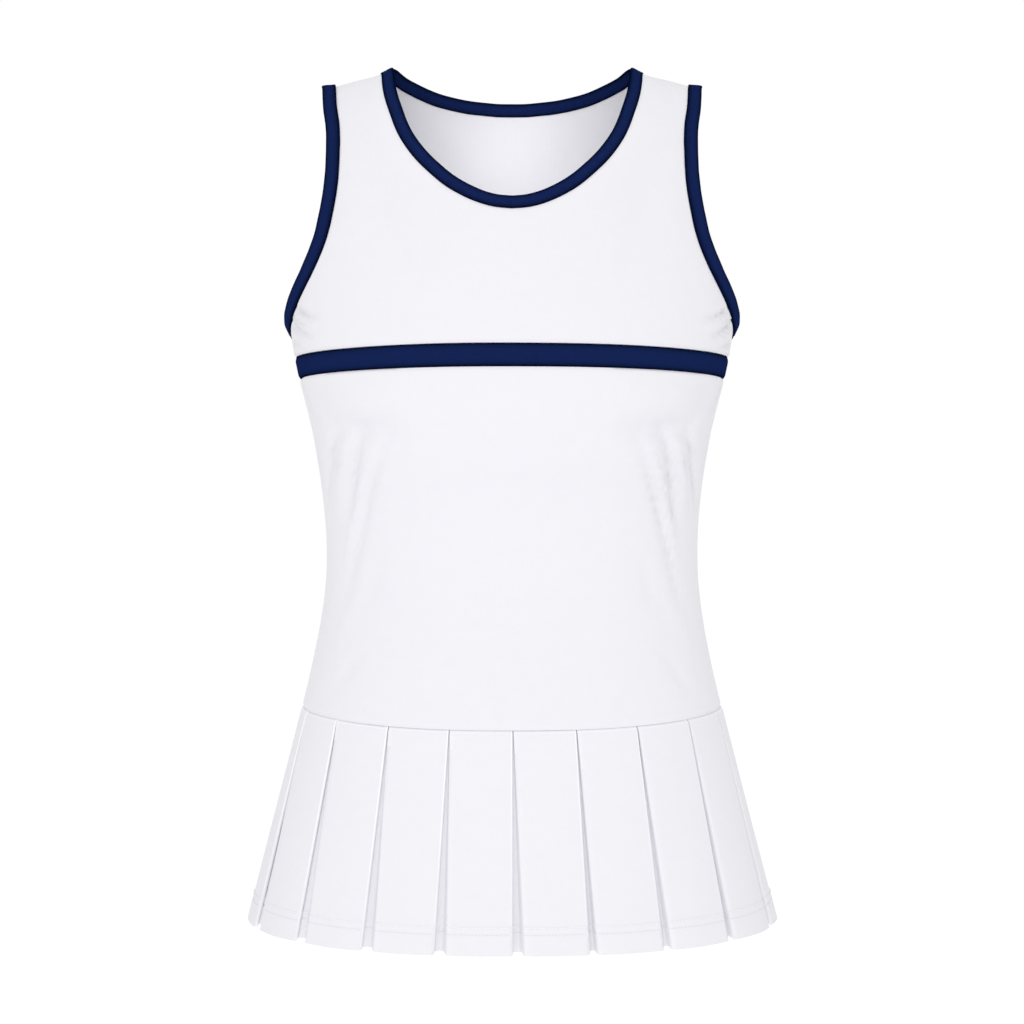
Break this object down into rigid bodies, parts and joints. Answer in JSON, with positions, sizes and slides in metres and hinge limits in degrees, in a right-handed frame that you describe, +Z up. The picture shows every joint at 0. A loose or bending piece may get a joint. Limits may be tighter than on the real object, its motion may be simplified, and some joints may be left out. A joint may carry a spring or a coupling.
{
  "type": "sleeveless tennis top",
  "caption": "Sleeveless knit tennis top with a scoop neck, contrast bindings and chest band, a drop-waist seam and a knife-pleated flared skirt part, shown filled out as if worn.",
  "frame": {"origin": "on the shoulder line, midway between the shoulders, at the height of the highest points of the neck edge, where the top hangs from its wearer", "axes": "+Z up, -Y to the front of the garment, +X to the wearer's left (image right)"},
  "size_m": [0.387, 0.2588, 0.632],
  "materials": {
    "white_knit": "smooth white jersey with a soft sheen",
    "white_pleats": "smooth white jersey, pressed into pleats",
    "navy_band": "smooth navy jersey",
    "navy_binding": "navy knit binding, topstitched"
  },
  "bodies": {
    "root": {"front_yoke": "white_knit", "chest_band": "navy_band", "front_body": "white_knit", "back_panel": "white_knit", "neck_binding": "navy_binding", "armhole_binding_left": "navy_binding", "armhole_binding_right": "navy_binding", "peplum_front": "white_pleats", "peplum_back": "white_pleats"}
  },
  "joints": []
}
